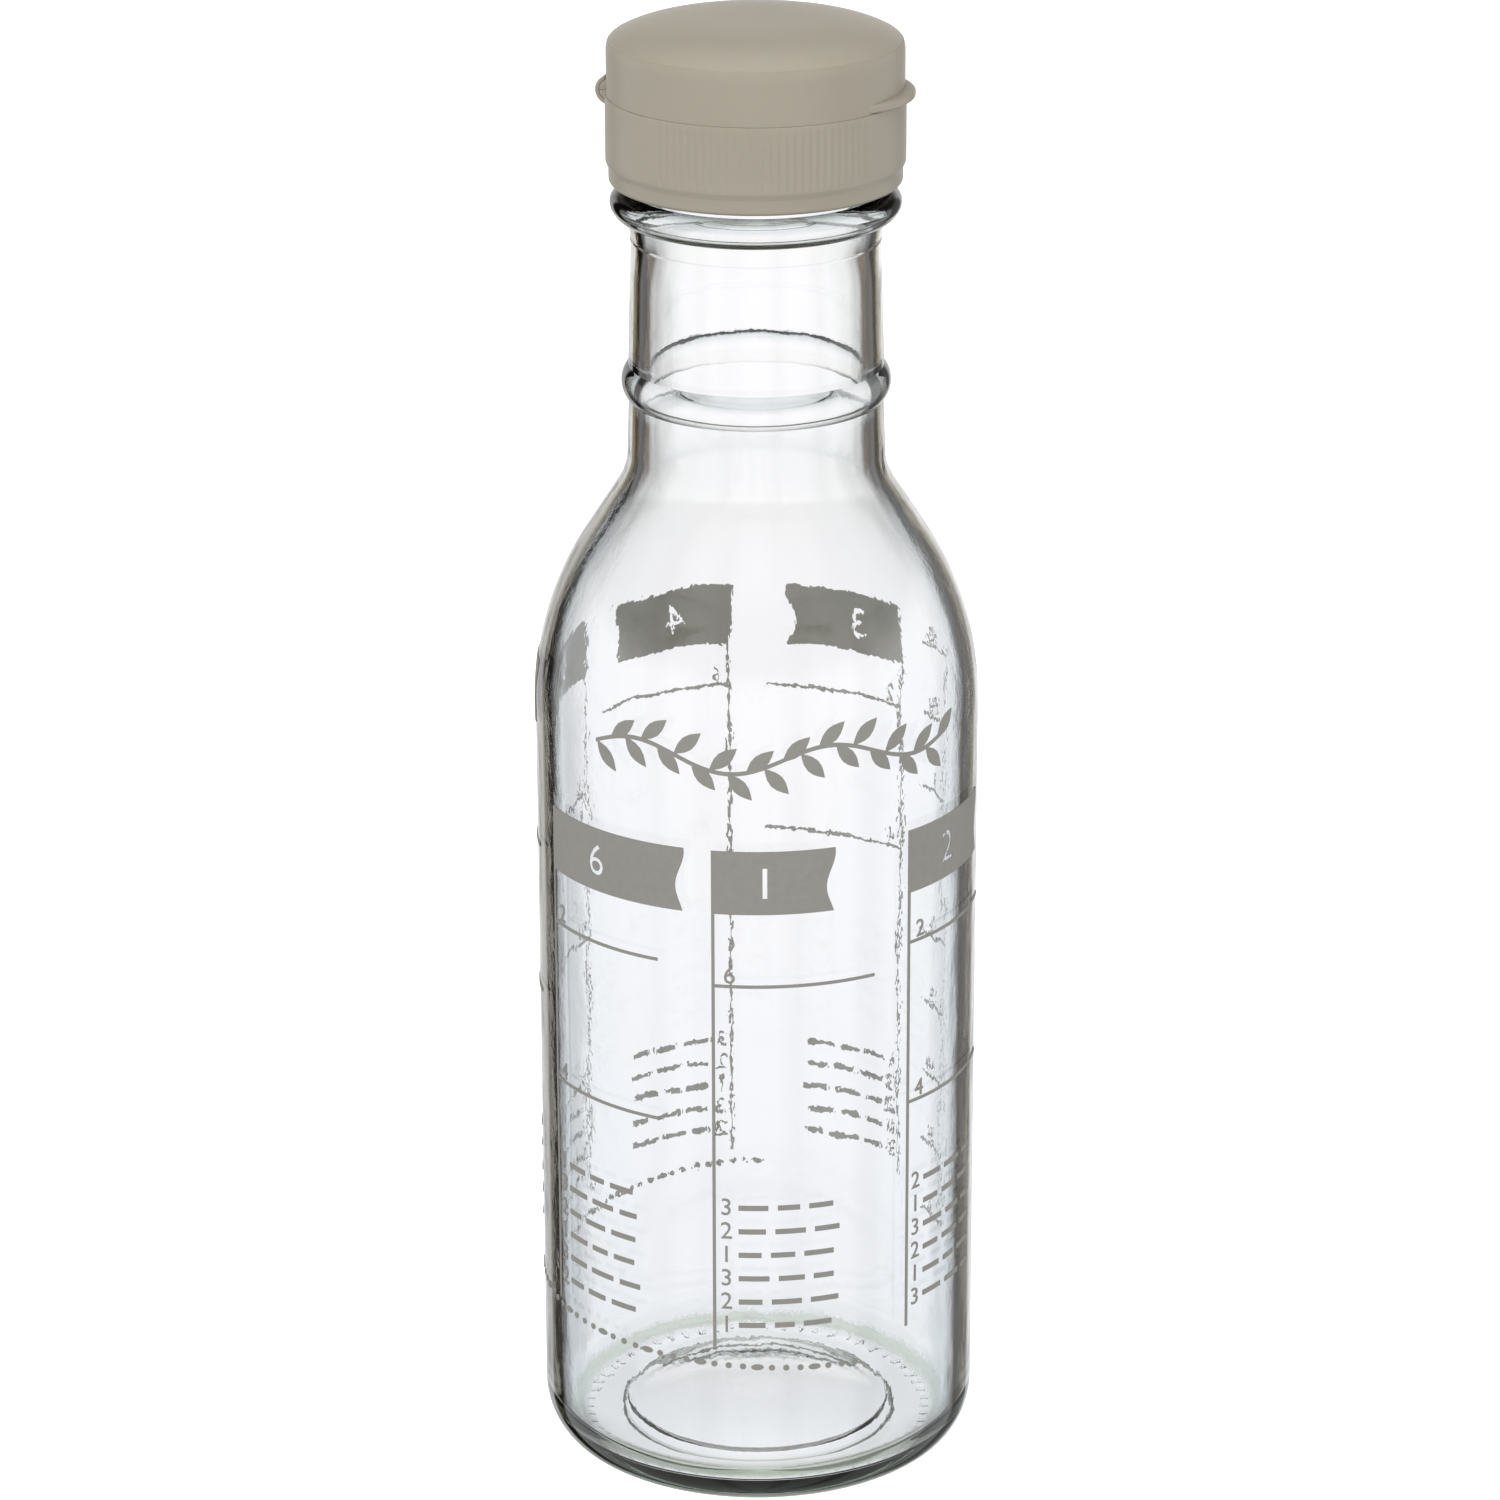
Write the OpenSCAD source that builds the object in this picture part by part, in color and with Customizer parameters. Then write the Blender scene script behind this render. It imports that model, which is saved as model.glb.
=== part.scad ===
// Salad dressing shaker bottle: a ring-necked glass bottle with a screw-on flip-top
// closure and a fired enamel measuring print.
// The origin is the middle of the base, on the table. The bottle's axis is +Z.
// The thumb tab of the lid is on the +X side and its hinge on the -X side.

/* [Glass body] */
// Outside diameter of the body
body_d = 62; // [58:0.2:72]
// Height of the upright side, from the table to the start of the shoulder
body_h = 112.3; // [95:0.1:130]
// Thickness of the glass wall
wall_t = 2.5; // [2:0.1:3.2]
// Reach of the rounded heel inwards from the side
heel_w = 5; // [4:0.25:7]
// Height of the rounded heel
heel_h = 7.2; // [5:0.2:9]
// Radius of the corner between wall and floor on the inside
inner_heel_r = 4; // [3:0.5:6]
// Thickness of the floor over the ring that the bottle stands on
floor_t = 3.8; // [3:0.2:6]
// Height of the step around the push-up on the inside
floor_step = 0.6; // [0.3:0.1:1]
// Radius of the edge of the push-up under the base
punt_r = 19.7; // [16:0.1:21]
// Height of the steep edge of the push-up
punt_step = 1.3; // [0.8:0.1:2]
// Height of the push-up at its middle
punt_h = 3.4; // [2.6:0.2:4.4]
// Number of small bars on the standing ring
knurl_count = 60; // [36:4:80]
// Length of each bar, outwards
knurl_l = 1.6; // [1:0.1:2.2]
// Width of each bar
knurl_w = 0.7; // [0.4:0.1:1.2]
// Height of each bar
knurl_h = 0.3; // [0.2:0.05:0.5]

/* [Shoulder and neck] */
// Radius of the outward curve at the foot of the shoulder
shoulder_r = 44; // [36:1:52]
// Lean of the shoulder's straight part from upright, in degrees
shoulder_lean = 32.6; // [28:0.2:36]
// Radius of the inward curve from the shoulder to the neck
throat_r = 8.9; // [7:0.2:12]
// Outside diameter of the neck at its foot
neck_d = 35.6; // [34.6:0.1:36.4]
// Outside diameter of the neck under the bead
neck_top_d = 34.1; // [33.6:0.1:35]
// Height of the middle of the bead over the foot of the neck
neck_h = 35.2; // [28:0.1:44]
// Height of the middle of the neck ring over the foot of the neck
ring_rise = 10; // [6:0.5:16]
// Diameter of the neck ring
ring_d = 37.1; // [36.6:0.1:38.6]
// Half the height of the neck ring
ring_half_h = 2.4; // [1.6:0.1:3]
// Diameter of the bead under the closure
bead_d = 39.8; // [38.8:0.1:41]
// Height of the bead's upper, rounder half
bead_up = 1.9; // [1.6:0.1:2.6]
// Height of the bead's lower, longer half
bead_down = 2.4; // [2:0.1:5.4]

/* [Threaded finish] */
// Diameter of the finish between its threads
root_d = 35.1; // [34.8:0.1:35.4]
// Height of the thread on the glass
thread_t = 1.15; // [0.9:0.05:1.2]
// Climb of the thread in one turn
pitch = 4.233; // [3.9:0.001:4.4]
// Turns of thread on the glass
thread_turns = 1.25; // [1:0.05:1.3]
// Width of the thread on the glass at its foot
thread_w = 2.1; // [1.8:0.1:2.2]
// Height of the finish over the bead
finish_h = 10.6; // [9.8:0.1:11]
// Diameter of the mouth
mouth_d = 29.2; // [27:0.2:30]
// Rounding of the lip
lip_r = 0.9; // [0.5:0.1:1.2]

/* [Closure] */
// Outside diameter of the closure over its ribs
cap_d = 40.8; // [40:0.1:42]
// Outside diameter of the plain band at the foot of the skirt
band_d = 40; // [39.6:0.1:40.6]
// Height of the plain band
band_h = 2.9; // [2.5:0.1:5]
// Thickness of the skirt behind the ribs
skirt_t = 1.15; // [1:0.05:1.2]
// Height of the gap between the bead and the skirt
skirt_gap = 0.9; // [0.4:0.1:1.2]
// Number of ribs in a full circle of them
rib_count = 120; // [90:6:150]
// Height of each rib
rib_t = 0.22; // [0.1:0.02:0.3]
// Half the plain stretch at the hinge, in degrees
plain_at_hinge = 66; // [30:3:75]
// Half the plain stretch at the thumb tab, in degrees
plain_at_tab = 27; // [18:3:45]
// Thickness of the sealing washer
liner_t = 0.8; // [0.5:0.1:1.2]
// Thickness of the deck
deck_t = 1.6; // [1:0.1:1.8]
// Diameter of the pouring hole
spout_d = 9.6; // [9:0.2:14]
// Height of the raised rims on the deck
rim_h = 1.3; // [0.8:0.1:2]
// Thickness of the raised rims
rim_t = 1.2; // [0.8:0.1:1.6]
// Clearance of running and snapping fits in the closure
fit_gap = 0.2; // [0.15:0.01:0.3]
// Gap between the deck and the edge of the lid
parting_gap = 0.12; // [0.08:0.02:0.3]

/* [Lid] */
// Outside diameter of the lid
lid_d = 40.4; // [40:0.1:41]
// Height of the lid to the edge of its top
lid_side_h = 7.4; // [6:0.1:10]
// Thickness of the lid
lid_t = 1.3; // [1:0.1:1.6]
// How far the side draws in towards the edge of the top
lid_edge_in = 0.35; // [0.2:0.05:0.6]
// Height over which the side draws in
lid_edge_h = 1.5; // [0.8:0.1:2]
// Rise of the crowned top over its edge
crown_h = 2.4; // [1:0.1:3]
// Reach of the thumb tab beyond the lid
tab_reach = 1.7; // [1.2:0.1:3]
// Half the width of the thumb tab
tab_half_w = 8.9; // [6:0.1:10]
// Height of the thumb tab
tab_h = 1.1; // [0.9:0.1:2]
// Width of the hinge strap
strap_w = 9; // [6:0.5:12]
// Thickness of the hinge strap
strap_t = 0.5; // [0.35:0.05:0.7]
// Radius of the folded hinge strap
strap_r = 2.05; // [1.8:0.05:2.8]
// Reach of the folded strap beyond the closure
strap_reach = 1.1; // [0.9:0.1:1.7]

/* [Enamel print] */
// Thickness of the fired enamel
enamel_t = 0.14; // [0.08:0.02:0.3]
// Width of the printed lines
line_w = 0.45; // [0.3:0.05:0.8]
// Height of the printed numerals
numeral_h = 2.5; // [1.8:0.1:3.2]
// Width of the strokes of the numerals
stroke_w = 0.42; // [0.3:0.02:0.5]
// Height of the header flags
flag_h = 9.2; // [7:0.2:11]
// Distance between the rows of dashes
row_step = 3.6; // [3.2:0.1:4.2]
// Number of marks of the measuring scale
scale_marks = 9; // [7:1:11]
// Length of the marks of the measuring scale
scale_mark_l = 8.5; // [6:0.5:12]
// Depth of the front columns' top under the shoulder
front_drop = 11.7; // [9:0.1:16]
// Rise of the rear columns' top over the foot of the shoulder
rear_rise = 6.5; // [2:0.1:7]
// Foot of the front columns above the table
column_foot = 25.5; // [23:0.5:30]
// Foot of the rear columns above the table
rear_foot = 29.5; // [28.5:0.5:34]

/* [Hidden] */
$fn = 96;

glass_colour = [0.84, 0.89, 0.87, 0.45];
cap_colour = [0.66, 0.63, 0.57];
lid_colour = [0.68, 0.65, 0.58];
washer_colour = [0.93, 0.92, 0.88];
enamel_colour = [0.53, 0.52, 0.48];

// Glass: radii and heights of the outer and inner outline
body_r = body_d / 2;
base_z = knurl_h;
foot_r = body_r - heel_w;
neck_r = neck_d / 2;
neck_top_r = neck_top_d / 2;
lean_out = 1 - cos(shoulder_lean);
straight_l = (body_r - neck_r - (shoulder_r + throat_r) * lean_out) / sin(shoulder_lean);
throat_z = body_h + shoulder_r * sin(shoulder_lean) + straight_l * cos(shoulder_lean);
neck_z = throat_z + throat_r * sin(shoulder_lean);
ring_z = neck_z + ring_rise;
bead_z = neck_z + neck_h;
bead_r = bead_d / 2;
bead_top = bead_z + bead_up;
root_r = root_d / 2;
lip_z = bead_top + finish_h;
inner_r = body_r - wall_t;
mouth_r = mouth_d / 2;
mouth_l = 14;
dome_r = ((punt_r - punt_step) ^ 2 + (punt_h - punt_step) ^ 2) / (2 * (punt_h - punt_step));
inner_floor_r = inner_r - inner_heel_r;
inner_dome_h = punt_h - punt_step;
arc_step = 2.5;

// Closure: places that follow from the glass
washer_z = lip_z;
deck_z = lip_z + liner_t;
deck_top = deck_z + deck_t;
lid_z = deck_top + parting_gap;
lid_edge_z = lid_z + lid_side_h;
lid_top = lid_edge_z + crown_h;
cap_r = cap_d / 2;
band_r = band_d / 2;
skirt_in_r = band_r - skirt_t;
skirt_z = bead_top + skirt_gap;
lid_r = lid_d / 2;
lid_in_r = lid_r - lid_t;
spout_r = spout_d / 2;
plug_r = spout_r - fit_gap;
plug_t = 1.1;
strap_x = lid_r + strap_reach - strap_r;
strap_z = lid_z - parting_gap / 2;
plug_z = deck_z + 0.3;
cap_thread_t = skirt_in_r - root_r - 0.3;
cap_thread_w = pitch - thread_w - 0.7;

function arc_points(cx, cy, rx, ry, from, to, steps) =
    [for (i = [0 : steps]) let (a = from + (to - from) * i / steps) [cx + rx * cos(a), cy + ry * sin(a)]];

function reversed(points) = [for (i = [len(points) - 1 : -1 : 0]) points[i]];

// Curve of the shoulder seen from outside, moved inwards by inset, from the body up to the neck
function shoulder_points(inset) = concat(
    arc_points(body_r - shoulder_r, body_h, shoulder_r - inset, shoulder_r - inset, 0, shoulder_lean,
        round(shoulder_lean / arc_step)),
    arc_points(neck_r + throat_r, neck_z, throat_r + inset, throat_r + inset, 180 + shoulder_lean, 180, 8));

function neck_radius(z) = neck_r + (neck_top_r - neck_r) * (z - neck_z) / (bead_z - bead_down - neck_z);

// A round ring that stands out of the neck
ring_root_r = neck_radius(ring_z);
ring_out = ring_d / 2 - ring_root_r;
ring_arc_r = (ring_half_h ^ 2 + ring_out ^ 2) / (2 * ring_out);
ring_arc = asin(ring_half_h / ring_arc_r);

function outer_outline() = concat(
    arc_points(0, punt_h - dome_r, dome_r, dome_r, 90, 90 - asin((punt_r - punt_step) / dome_r), 8),
    arc_points(punt_r - punt_step, base_z, punt_step, punt_step - base_z, 75, 0, 4),
    arc_points(foot_r, base_z + heel_h, heel_w, heel_h, -90, 0, 12),
    shoulder_points(0),
    arc_points(ring_d / 2 - ring_arc_r, ring_z, ring_arc_r, ring_arc_r, -ring_arc, ring_arc, 10),
    [[neck_top_r, bead_z - bead_down]],
    arc_points(neck_top_r, bead_z, bead_r - neck_top_r, bead_down, -70, 0, 8),
    arc_points(neck_top_r, bead_z, bead_r - neck_top_r, bead_up, 10, 80, 7),
    [[root_r, bead_top]],
    arc_points(root_r - lip_r, lip_z - lip_r, lip_r, lip_r, 0, 90, 5));

function inner_outline() = concat(
    arc_points(mouth_r + lip_r, lip_z - lip_r, lip_r, lip_r, 90, 180, 5),
    [[mouth_r, lip_z - mouth_l]],
    reversed(shoulder_points(wall_t)),
    arc_points(inner_floor_r, floor_t + inner_heel_r, inner_heel_r, inner_heel_r, 0, -90, 8),
    [[punt_r - floor_step, floor_t]],
    [for (i = [0 : 5]) let (f = 1 - i / 5)
        [(punt_r - 2 * floor_step) * f, floor_t + floor_step + (inner_dome_h - floor_step) * (1 - f ^ 2)]]);

// A ridge that winds around the axis. It stands on radius foot and reaches radius crest, and it
// fades in and out over its ends.
module helical_ridge(foot, crest, bury, foot_w, crest_w, start_z, turns) {
    steps = round(turns * 36);
    fade = 4;
    side = crest > foot ? 1 : -1;
    points = [for (i = [0 : steps]) let (
            a = i * turns * 360 / steps,
            z = start_z + pitch * turns * i / steps,
            f = min(1, (i + 0.4) / fade, (steps - i + 0.4) / fade),
            tip = foot + (crest - foot) * f,
            w = crest_w / 2)
        each [for (p = [[foot - side * bury, z - foot_w / 2], [tip, z - w], [tip, z + w],
                [foot - side * bury, z + foot_w / 2]])
            [p[0] * cos(a), p[0] * sin(a), p[1]]]];
    walls = [for (i = [0 : steps - 1], k = [0 : 3]) let (
            a = 4 * i + k,
            b = 4 * i + (k + 1) % 4)
        each side > 0 ? [[a, b, b + 4], [a, b + 4, a + 4]] : [[a, b + 4, b], [a, a + 4, b + 4]]];
    last = 4 * steps;
    ends = side > 0
        ? [[0, 2, 1], [0, 3, 2], [last, last + 1, last + 2], [last, last + 2, last + 3]]
        : [[0, 1, 2], [0, 2, 3], [last, last + 2, last + 1], [last, last + 3, last + 2]];
    polyhedron(points, concat(walls, ends), convexity = 6);
}

thread_top = lip_z - 2.1;
thread_start = thread_top - pitch * thread_turns;

module glass_bottle() {
    color(glass_colour) {
        rotate_extrude() polygon(concat(outer_outline(), inner_outline()));
        helical_ridge(root_r, root_r + thread_t, 0.4, thread_w, thread_w * 0.45, thread_start, thread_turns);
        for (i = [0 : knurl_count - 1])
            rotate([0, 0, i * 360 / knurl_count])
                translate([foot_r - 0.4 - knurl_l, -knurl_w / 2, 0])
                    cube([knurl_l, knurl_w, base_z + 0.3]);
    }
}

// A flat foamed ring held in the top of the closure, on the lip
module seal_washer() {
    color(washer_colour)
        difference() {
            translate([0, 0, washer_z]) cylinder(r = skirt_in_r - 0.1, h = liner_t);
            translate([0, 0, washer_z - 1]) cylinder(r = mouth_r - 0.4, h = liner_t + 2);
        }
}

// Outline of the gripped skirt: ribs all round but for the plain stretches at hinge and tab
function is_plain(a) = min(a, 360 - a) < plain_at_tab || abs(a - 180) < plain_at_hinge;
function skirt_outline() = [for (i = [0 : 2 * rib_count - 1]) let (
        a = i * 180 / rib_count,
        r = i % 2 == 0 || is_plain(a) ? cap_r : cap_r - rib_t)
    [r * cos(a), r * sin(a)]];

module cap_base() {
    band_top = skirt_z + band_h;
    ring_r = lid_in_r - fit_gap;
    color(cap_colour)
        difference() {
            union() {
                translate([0, 0, band_top]) linear_extrude(deck_top - band_top) polygon(skirt_outline());
                rotate_extrude() polygon(concat(
                    [[0, skirt_z]],
                    arc_points(band_r - 0.6, skirt_z + 0.6, 0.6, 0.6, -90, 0, 4),
                    [[band_r, band_top - 0.5], [cap_r - rib_t - 0.02, band_top], [0, band_top]]));
                translate([0, 0, deck_top - 0.5]) cylinder(r = ring_r, h = rim_h + 0.5);
                difference() {
                    hinge_lobe();
                    translate([0, 0, deck_top]) cylinder(r = strap_x + strap_r, h = strap_r);
                }
            }
            difference() {
                translate([0, 0, skirt_z - 1]) cylinder(r = skirt_in_r, h = deck_z - skirt_z + 1);
                cap_thread();
            }
            translate([0, 0, deck_top]) difference() {
                cylinder(r = ring_r - rim_t, h = rim_h + 1);
                translate([0, 0, -1]) cylinder(r = spout_r + rim_t, h = rim_h + 1);
            }
            translate([0, 0, deck_z - 1]) cylinder(r = spout_r, h = deck_t + rim_h + 3);
        }
}

// The thread in the skirt lies half a pitch under the glass thread, and starts further round it
module cap_thread() {
    further = 0.32;
    rotate([0, 0, 360 * further])
        helical_ridge(skirt_in_r, skirt_in_r - cap_thread_t, 0.4, cap_thread_w, cap_thread_w * 0.5,
            thread_start - pitch / 2 + pitch * further, thread_turns);
}

// A round bar behind the hinge strap. The base keeps its lower half and the lid its upper half.
module hinge_lobe() {
    difference() {
        translate([-strap_x, strap_w / 2, strap_z]) rotate([90, 0, 0])
            cylinder(r = strap_r - strap_t - 0.04, h = strap_w);
        translate([0, 0, skirt_z]) cylinder(r = (lid_r + lid_in_r) / 2, h = lid_top - skirt_z);
    }
}

// The thin strap that is moulded with base and lid, folded around the hinge lobes
module hinge_strap() {
    color(cap_colour)
        difference() {
            translate([-strap_x, strap_w / 2, strap_z]) rotate([90, 0, 0]) difference() {
                cylinder(r = strap_r, h = strap_w);
                translate([0, 0, -1]) cylinder(r = strap_r - strap_t, h = strap_w + 2);
            }
            translate([0, 0, skirt_z]) cylinder(r = max(cap_r, lid_r) + 0.03, h = lid_top - skirt_z);
        }
}

// Height of the crowned top at radius r: level in the middle and steep near its edge
function crown_z(r) = lid_top - crown_h * (r / (lid_r - lid_edge_in)) ^ 4.8;

// The crowned lid with its plug, its thumb tab and its half of the hinge lobe
module flip_lid() {
    edge_r = lid_r - lid_edge_in;
    steps = 14;
    top_in = lid_top - lid_t;
    tab_x = sqrt(lid_r ^ 2 - tab_half_w ^ 2);
    tab_out = lid_r + tab_reach;
    tab_c = (tab_out ^ 2 - lid_r ^ 2) / (2 * (tab_out - tab_x));
    color(lid_colour) {
        rotate_extrude() polygon(concat(
            [[lid_in_r, lid_z], [lid_r, lid_z]],
            [for (i = [0 : 4]) let (f = i / 4) [lid_r - lid_edge_in * f ^ 2, lid_edge_z - lid_edge_h * (1 - f)]],
            [for (i = [1 : steps]) let (r = edge_r * (1 - i / steps)) [r, crown_z(r)]],
            [[0, top_in], [plug_r - plug_t, top_in], [plug_r - plug_t, plug_z],
                [plug_r - 0.3, plug_z], [plug_r, plug_z + 0.5], [plug_r, top_in]],
            [for (i = [5 : 9]) let (r = lid_in_r * i / 10) [r, crown_z(r) - lid_t]],
            [[lid_in_r, lid_edge_z - lid_t]]));
        difference() {
            translate([tab_c, 0, lid_z]) cylinder(r = tab_out - tab_c, h = tab_h);
            translate([0, 0, lid_z - 1]) cylinder(r = (lid_r + lid_in_r) / 2, h = lid_side_h);
        }
        difference() {
            hinge_lobe();
            translate([0, 0, lid_z - strap_r]) cylinder(r = strap_x + strap_r, h = strap_r);
        }
    }
}

// Enamel: everything printed is cut out of one thin skin over the glass
skin_z = 18;
skin_arc_steps = 6;

module enamel_skin() {
    lean = skin_arc_steps * shoulder_lean / round(shoulder_lean / arc_step);
    inside = concat([[body_r, skin_z]],
        arc_points(body_r - shoulder_r, body_h, shoulder_r, shoulder_r, 0, lean, skin_arc_steps));
    outside = concat([[body_r + enamel_t, skin_z]],
        arc_points(body_r - shoulder_r, body_h, shoulder_r + enamel_t, shoulder_r + enamel_t, 0, lean,
            skin_arc_steps));
    rotate_extrude() polygon(concat(inside, reversed(outside)));
}

// Turns a flat drawing in the plane of the paper, at height z, to face outwards at angle a
module wrapped(a, z) {
    rotate([0, 0, a]) translate([body_r - 6, 0, z]) rotate([90, 0, 90]) linear_extrude(8) children();
}

// Sideways place on the flat drawing of a point that lies s along the round surface
function flat_x(s) = body_r * sin(s / body_r * 180 / PI);
function arc_angle(s) = s / body_r * 180 / PI;

module stroke(from, to, w = stroke_w) {
    d = to - from;
    translate(from) rotate(atan2(d[1], d[0])) translate([-w * 0.4, -w / 2]) square([norm(d) + w * 0.8, w]);
}

module bend(cx, cy, r, from, to) {
    steps = 10;
    polygon(concat(
        arc_points(cx, cy, r + stroke_w / 2, r + stroke_w / 2, from, to, steps),
        arc_points(cx, cy, r - stroke_w / 2, r - stroke_w / 2, to, from, steps)));
}

// Plain numerals drawn with arcs and straight strokes, numeral_h high and centred on x = 0
module digit(n) {
    h = numeral_h - stroke_w;
    r = h * 0.25;
    translate([0, stroke_w / 2]) {
        if (n == 0) {
            bend(0, h - r, r, 0, 180);
            bend(0, r, r, 180, 360);
            stroke([r, r], [r, h - r]);
            stroke([-r, r], [-r, h - r]);
        }
        if (n == 1) {
            stroke([0, 0], [0, h]);
            stroke([0, h], [-r, h - r]);
        }
        if (n == 2) {
            bend(0, h - r, r, -30, 170);
            stroke([r * 0.87, h - r * 1.5], [-r, 0]);
            stroke([-r, 0], [r, 0]);
        }
        if (n == 3) {
            bend(0, h - r, r, -90, 160);
            bend(0, r, r, -160, 90);
        }
        if (n == 4) {
            stroke([r * 0.5, 0], [r * 0.5, h]);
            stroke([r * 0.5, h], [-r, r]);
            stroke([-r, r], [r * 1.2, r]);
        }
        if (n == 5) {
            bend(0, r, r, -150, 120);
            stroke([-r * 0.5, r * 1.87], [-r * 0.5, h]);
            stroke([-r * 0.5, h], [r, h]);
        }
        if (n == 6) {
            bend(0, r, r, 0, 359);
            stroke([-r * 0.87, r * 1.5], [r * 0.3, h]);
        }
        if (n == 7) {
            stroke([-r, h], [r, h]);
            stroke([r, h], [-r * 0.4, 0]);
        }
        if (n == 8) {
            bend(0, h - r, r, 0, 359);
            bend(0, r, r, 0, 359);
        }
        if (n == 9) {
            bend(0, h - r, r, 0, 359);
            stroke([r * 0.87, h - r * 1.5], [-r * 0.3, 0]);
        }
    }
}

digit_w = numeral_h * 0.62;

module numeral(n) {
    if (n < 10) digit(n);
    else {
        translate([-digit_w / 2, 0]) digit(floor(n / 10));
        translate([digit_w / 2, 0]) digit(n % 10);
    }
}

// A plain header flag with a waving end. It hangs to the right of its line, and holds the
// number of the column in bare glass.
module header_flag(w, n) {
    wave = flag_h * 0.14;
    steps = 12;
    difference() {
        polygon(concat(
            [[flat_x(0), 0]],
            [for (i = [0 : steps]) let (f = i / steps)
                [flat_x(w - wave * (1 + sin(f * 330 - 40)) / 2), f * flag_h]],
            [[flat_x(0), flag_h]]));
        translate([flat_x(w * 0.42), (flag_h - numeral_h * 1.8) / 2]) scale(1.8) numeral(n);
    }
}

// Blocks that cut the skin: a level band of height h and an upright bar
module level_band(a, z, l, h) {
    rotate([0, 0, a]) rotate_extrude(angle = arc_angle(l)) translate([body_r - 2, z]) square([4, h]);
}

module upright_bar(a, from, to) {
    rotate([0, 0, a]) translate([body_r - 6, -line_w / 2, from]) cube([8, line_w, to - from]);
}

// One row of a column: a numeral and a few dashes. The lengths come from the row's number.
function dash_length(row, k) = numeral_h * (1.04 + 0.68 * abs(sin(row * 67 + k * 131)));
dash_h = numeral_h * 0.3;

module dash_row(a, z, row) {
    gap = numeral_h * 0.52;
    first = numeral_h * 1.36;
    second = first + dash_length(row, 0) + gap;
    third = second + dash_length(row, 1) + gap;
    starts = [first, second, third];
    for (k = [0 : 2])
        level_band(a + arc_angle(starts[k]), z + numeral_h * 0.3, dash_length(row, k), dash_h);
    wrapped(a + arc_angle(first / 2), z) numeral(1 + (row * 2) % 3);
}

// A column of the print: flag, upright line, level lines with their numerals, rows of dashes.
// Flag and level lines reach over an angle of the bottle. levels holds pairs of the share of
// the column's height and the numeral.
module print_column(a, n, foot, top, flag_angle, level_angle, levels, rows) {
    flag_w = flag_angle * PI / 180 * body_r;
    level_l = level_angle * PI / 180 * body_r;
    row_top = column_foot + row_step * 5.8;
    color(enamel_colour) intersection() {
        enamel_skin();
        union() {
            upright_bar(a, foot, top);
            wrapped(a, top - flag_h) header_flag(flag_w, n);
            for (level = levels) {
                z = column_foot + (top - column_foot) * level[0];
                level_band(a, z - line_w / 2, level_l, line_w);
                wrapped(a + arc_angle(numeral_h * 0.9), z + line_w) numeral(level[1]);
            }
            for (row = [0 : rows - 1]) dash_row(a, row_top - row * row_step, row + n);
        }
    }
}

// Angles of the upright lines around the bottle, from the tab's side towards the back
column_1_a = -85.3;
column_2_a = -31.7;
scale_a = 33;
column_3_a = 59.5;
column_4_a = 114;
column_5_a = 166.5;
column_6_a = 221;
front_top = body_h - front_drop;
rear_top = body_h + rear_rise;

module print_column_1() {
    print_column(column_1_a, 1, column_foot, front_top, 31.5, 42.6, [[0.736, 6]], 6);
}

module print_column_2() {
    print_column(column_2_a, 2, column_foot, front_top, 37.1, 40.8, [[0.779, 2], [0.459, 4]], 6);
}

module print_column_3() {
    print_column(column_3_a, 3, rear_foot, rear_top, 38, 44.5, [[0.831, 2], [0.597, 4]], 5);
}

module print_column_4() {
    print_column(column_4_a, 4, rear_foot, rear_top, 38, 44.5, [[0.831, 6]], 5);
}

module print_column_5() {
    print_column(column_5_a, 5, rear_foot, rear_top, 37.1, 40.8, [[0.713, 3], [0.477, 3]], 5);
}

module print_column_6() {
    print_column(column_6_a, 6, column_foot, front_top, 46.4, 38.9, [[0.774, 2], [0.457, 4]], 6);
}

// A measuring scale: an upright line with equal marks and plain numbers. Its ends stand
// past its first and last mark.
module print_scale() {
    first = column_foot + line_w * 2.4;
    top = rear_top - line_w * 4;
    step = (top - line_w * 4.4 - first) / (scale_marks - 1);
    color(enamel_colour) intersection() {
        enamel_skin();
        union() {
            upright_bar(scale_a, column_foot, top);
            for (i = [0 : scale_marks - 1]) {
                z = first + i * step;
                level_band(scale_a, z - line_w / 2, scale_mark_l, line_w);
                wrapped(scale_a + arc_angle(scale_mark_l * 0.6), z + line_w) numeral(i + 2);
            }
        }
    }
}

// A plain garland in place of a heading: a waving stem with pairs of pointed leaves
garland_a = -74 - 45;
garland_l = 55;
garland_z = body_h + 1.3;
garland_wave = 1.8;
leaf_l = 5;
leaf_w = 2;

function garland_height(s) = garland_z + garland_wave * sin(s * 720 / garland_l);

module leaf() {
    steps = 8;
    polygon(concat(
        [for (i = [0 : steps]) let (f = i / steps) [leaf_l * f, leaf_w / 2 * sin(180 * f)]],
        [for (i = [steps - 1 : -1 : 1]) let (f = i / steps) [leaf_l * f, -leaf_w / 2 * sin(180 * f)]]));
}

module print_garland() {
    pieces = 22;
    color(enamel_colour) intersection() {
        enamel_skin();
        union() for (i = [0 : pieces - 1]) {
            s = garland_l * i / pieces;
            next = garland_l * (i + 1) / pieces;
            wrapped(garland_a + arc_angle(s), garland_height(s)) {
                stroke([0, 0], [next - s, garland_height(next) - garland_height(s)], line_w * 1.3);
                if (i % 2 == 0) translate([0.3, 0]) rotate(48) leaf();
                if (i % 2 == 1) translate([0.3, 0]) rotate(-40) leaf();
            }
        }
    }
}

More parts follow.
